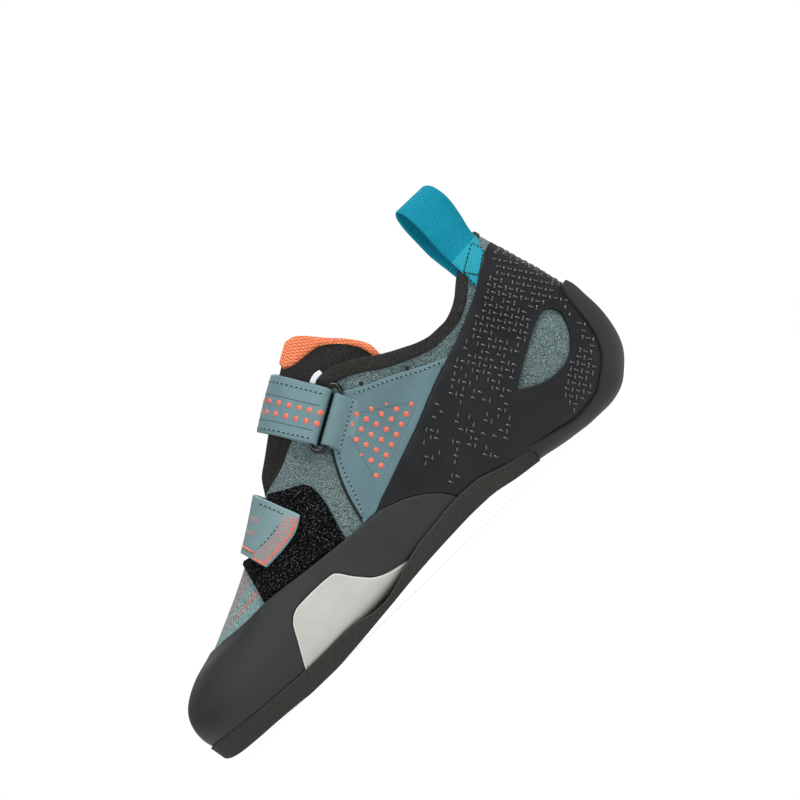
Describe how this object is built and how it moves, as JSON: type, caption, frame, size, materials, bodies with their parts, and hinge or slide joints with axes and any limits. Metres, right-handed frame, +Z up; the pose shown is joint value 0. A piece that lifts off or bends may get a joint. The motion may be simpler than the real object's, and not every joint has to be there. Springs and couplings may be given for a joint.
{
  "type": "climbing shoe",
  "caption": "Low rock-climbing shoe with a rubber rand, rubber heel cup, thin sole, a ring-tightened instep strap, a lower tab strap and a heel pull loop.",
  "frame": {"origin": "on the floor under the middle of the shoe's bounding box", "axes": "+X from the toe to the heel, -Y to the inner side of the foot, +Z up from the sole"},
  "size_m": [0.2547, 0.0908, 0.1239],
  "materials": {
    "upper": "brushed microsuede, matte",
    "insole": "pressed board, matte",
    "outsole": "ground rubber, matte",
    "heel_cup": "ground rubber, matte",
    "toe_rand": "smooth rubber, satin",
    "rand_insert": "smooth rubber, satin",
    "heel_rand": "rubber with small raised dashes, satin",
    "loop_pad": "loop pile, matte",
    "side_panel": "synthetic leather, satin",
    "strap_ring": "black gloss lacquer",
    "upper_strap": "synthetic leather, satin",
    "lower_strap": "synthetic leather, satin",
    "tongue": "padded textile, matte",
    "tongue_lining": "knit, matte",
    "collar_binding": "woven tape, matte",
    "pull_loop": "ribbed webbing, matte"
  },
  "bodies": {
    "root": {"upper": "upper", "insole": "insole", "outsole": "outsole", "heel_cup": "heel_cup", "toe_rand": "toe_rand", "rand_insert": "rand_insert", "heel_rand": "heel_rand", "loop_pad": "loop_pad", "side_panel": "side_panel", "strap_ring": "strap_ring", "upper_strap": "upper_strap", "lower_strap": "lower_strap", "tongue": "tongue", "tongue_lining": "tongue_lining", "collar_binding": "collar_binding", "pull_loop": "pull_loop"}
  },
  "joints": []
}
